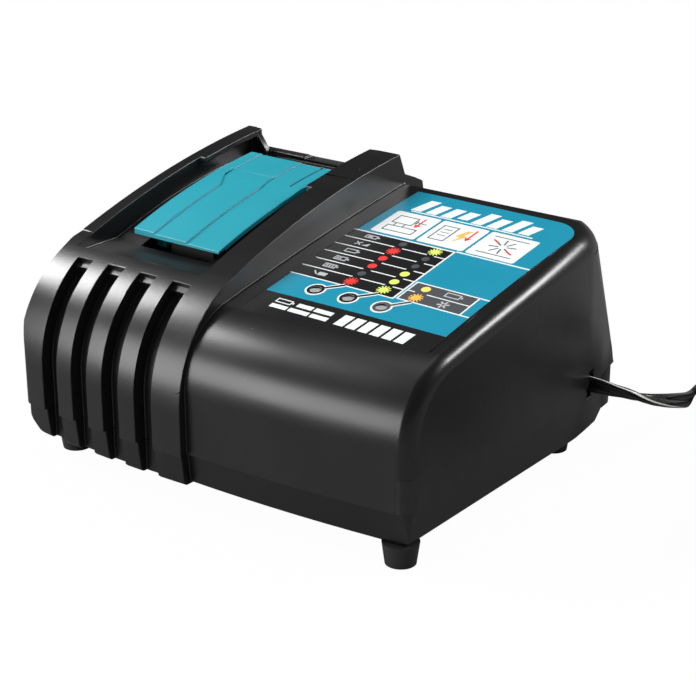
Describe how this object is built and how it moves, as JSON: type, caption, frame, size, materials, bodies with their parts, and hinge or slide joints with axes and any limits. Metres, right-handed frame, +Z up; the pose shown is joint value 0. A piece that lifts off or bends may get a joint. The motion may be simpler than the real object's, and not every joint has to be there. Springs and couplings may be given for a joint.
{
  "type": "power tool battery charger",
  "caption": "Low charger with a ribbed slide-battery bay under a sliding teal terminal cover, a sloped indicator panel, cooling fan and twin flex to a vehicle plug.",
  "frame": {"origin": "middle of the charger's footprint at the level its feet stand on, without the cord and plug", "axes": "+X to the side the cord leaves, +Y to the back, +Z up; the battery bay is on the -X side and slides in from the front (-Y)"},
  "size_m": [0.265, 0.2623, 0.101],
  "materials": {
    "shell_black": "moulded black plastic with a soft sheen",
    "cover_teal": "moulded teal plastic",
    "label_print": "printed polyester film, teal and black",
    "inner_black": "plain black plastic",
    "clear_plastic": "clear to milky plastic or glass",
    "led_tint": "tinted resin",
    "circuit_board": "green solder mask",
    "copper_wire": "enamelled copper",
    "ferrite": "coated powder iron",
    "aluminium_part": "extruded aluminium",
    "steel_part": "zinc plated or nickel plated steel",
    "contact_brass": "plated brass",
    "capacitor_sleeve": "shrink sleeve",
    "connector_white": "natural nylon",
    "soft_rubber": "soft black rubber",
    "flex_pvc": "black flexible plastic",
    "wire_red": "red and black wire"
  },
  "bodies": {
    "charger": {"upper_housing": "shell_black", "lower_housing": "shell_black", "terminal_block": "inner_black", "power_terminals": "contact_brass", "signal_terminals": "contact_brass", "control_label": "label_print", "light_guides": "clear_plastic", "indicator_leds": "led_tint", "indicator_board": "circuit_board", "indicator_screws": "steel_part", "main_board": "circuit_board", "board_screws": "steel_part", "inductor_core": "ferrite", "inductor_winding": "copper_wire", "heat_sink": "aluminium_part", "power_transistors": "inner_black", "heat_sink_screws": "steel_part", "capacitors": "capacitor_sleeve", "control_chip": "inner_black", "board_fuse": "clear_plastic", "fuse_clips": "steel_part", "buzzer": "inner_black", "lead_connectors": "connector_white", "fan_frame": "inner_black", "fan_screws": "steel_part", "air_duct": "inner_black", "output_leads": "wire_red", "fan_leads": "wire_red", "cord_clamp": "inner_black", "clamp_screws": "steel_part", "rubber_feet": "soft_rubber", "housing_screws": "steel_part", "power_cord": "flex_pvc", "cord_coil": "flex_pvc", "cord_tie": "inner_black", "plug_lead": "flex_pvc", "plug_relief": "soft_rubber", "plug_shell": "inner_black", "plug_cap": "inner_black", "plug_tip_spring": "steel_part", "plug_fuse": "clear_plastic", "plug_side_contacts": "steel_part", "plug_screw": "steel_part"},
    "cover": {"terminal_cover": "cover_teal", "cover_guides": "cover_teal", "return_spring": "steel_part"},
    "fan": {"fan_rotor": "inner_black"},
    "plug_tip": {"plug_tip": "steel_part"}
  },
  "joints": [
    {"name": "terminal_cover_slide", "type": "hinge", "parent": "charger", "child": "cover", "pos_m": [-0.0474, 0.067, -0.2037], "axis": [-1, 0, 0], "range_deg": [0, 5.7], "stiffness_Nm_per_rad": 0.6},
    {"name": "fan_spin", "type": "hinge", "parent": "charger", "child": "fan", "pos_m": [-0.047, -0.018, 0.02], "axis": [0, 0, 1], "continuous": true},
    {"name": "plug_tip_press", "type": "slide", "parent": "charger", "child": "plug_tip", "axis": [0, 1, 0], "range_m": [0, 0.003], "stiffness_N_per_m": 500}
  ]
}
